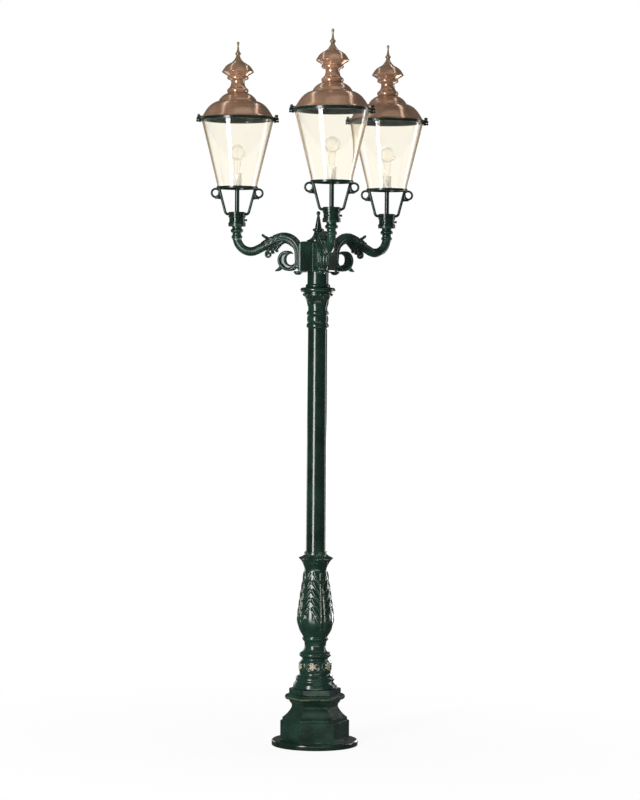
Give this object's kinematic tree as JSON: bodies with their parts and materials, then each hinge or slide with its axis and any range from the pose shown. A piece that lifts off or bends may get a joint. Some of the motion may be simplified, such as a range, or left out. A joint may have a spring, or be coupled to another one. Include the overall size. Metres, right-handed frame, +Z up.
{
  "type": "three-head lamp post",
  "caption": "Ornate street lamp post with a leafed pedestal, scroll arms and round glass lanterns under copper hoods that hinge open for the lamp.",
  "frame": {"origin": "centre of the ground plate's underside, on the axis of the post", "axes": "+Z up along the post; -Y towards the viewer of the picture; the hood hinges open towards -X"},
  "size_m": [1.0416, 0.9418, 3.1078],
  "materials": {
    "enamel": "glossy dark green enamel on castings, rubbed olive-gold on raised edges",
    "copper": "satin spun copper with fine turning lines",
    "brass": "toned brass turning",
    "glass": "clear glass with a faint cream tint",
    "lamp_glass": "frosted lamp glass",
    "porcelain": "white glazed porcelain",
    "rubber": "matt seal",
    "steel": "plain stainless steel",
    "plastic": "moulded grey plastic"
  },
  "bodies": {
    "post": {"ground_plate": "enamel", "plinth_bolts": "steel", "plinth": "enamel", "door_hinge_pin": "steel", "terminal_box": "plastic", "pedestal": "enamel", "grub_screws": "enamel", "shaft": "enamel", "capital": "enamel", "hub": "enamel", "hub_finial": "enamel", "arm_bolts": "enamel", "arm_front": "enamel", "arm_right": "enamel", "arm_left": "enamel", "cradle_front": "enamel", "cradle_right": "enamel", "cradle_left": "enamel", "conduit_front": "enamel", "conduit_right": "enamel", "conduit_left": "enamel", "lamp_tray_front": "enamel", "lamp_tray_right": "enamel", "lamp_tray_left": "enamel", "lamp_holder_front": "porcelain", "lamp_holder_right": "porcelain", "lamp_holder_left": "porcelain", "bulb_front": "lamp_glass", "bulb_right": "lamp_glass", "bulb_left": "lamp_glass", "shade_seal_front": "rubber", "shade_seal_right": "rubber", "shade_seal_left": "rubber", "shade_front": "glass", "shade_right": "glass", "shade_left": "glass", "crown_ring_front": "enamel", "crown_ring_right": "enamel", "crown_ring_left": "enamel", "sleeve_screws": "enamel", "hinge_pins": "steel", "shade_screws": "enamel"},
    "door": {"service_door": "enamel"},
    "door_cam": {"door_lock": "steel"},
    "front_hood": {"hood_front": "copper", "turret_front": "copper", "spire_front": "brass"},
    "front_catch": {"catch_screw_front": "enamel"},
    "right_hood": {"hood_right": "copper", "turret_right": "copper", "spire_right": "brass"},
    "right_catch": {"catch_screw_right": "enamel"},
    "left_hood": {"hood_left": "copper", "turret_left": "copper", "spire_left": "brass"},
    "left_catch": {"catch_screw_left": "enamel"}
  },
  "joints": [
    {"name": "front_hood_hinge", "type": "hinge", "parent": "post", "child": "front_hood", "pos_m": [-0.13881, -0.38852, 2.778], "axis": [0, -1, 0], "range_deg": [0, 100]},
    {"name": "front_catch_turn", "type": "hinge", "parent": "front_hood", "child": "front_catch", "pos_m": [0.20679, -0.38852, 2.7751], "axis": [0, 0, 1], "continuous": true},
    {"name": "right_hood_hinge", "type": "hinge", "parent": "post", "child": "right_hood", "pos_m": [0.14667, 0.2237, 2.778], "axis": [0, -1, 0], "range_deg": [0, 100]},
    {"name": "right_catch_turn", "type": "hinge", "parent": "right_hood", "child": "right_catch", "pos_m": [0.49227, 0.2237, 2.7751], "axis": [0, 0, 1], "continuous": true},
    {"name": "left_hood_hinge", "type": "hinge", "parent": "post", "child": "left_hood", "pos_m": [-0.52626, 0.16482, 2.778], "axis": [0, -1, 0], "range_deg": [0, 100]},
    {"name": "left_catch_turn", "type": "hinge", "parent": "left_hood", "child": "left_catch", "pos_m": [-0.18066, 0.16482, 2.7751], "axis": [0, 0, 1], "continuous": true},
    {"name": "door_hinge", "type": "hinge", "parent": "post", "child": "door", "pos_m": [-0.05, 0.1375, 0.067], "axis": [0, 0, 1], "range_deg": [0, 110]},
    {"name": "door_lock_turn", "type": "hinge", "parent": "door", "child": "door_cam", "pos_m": [0.034, 0.132, 0.067], "axis": [0, -1, 0], "range_deg": [0, 90]}
  ]
}
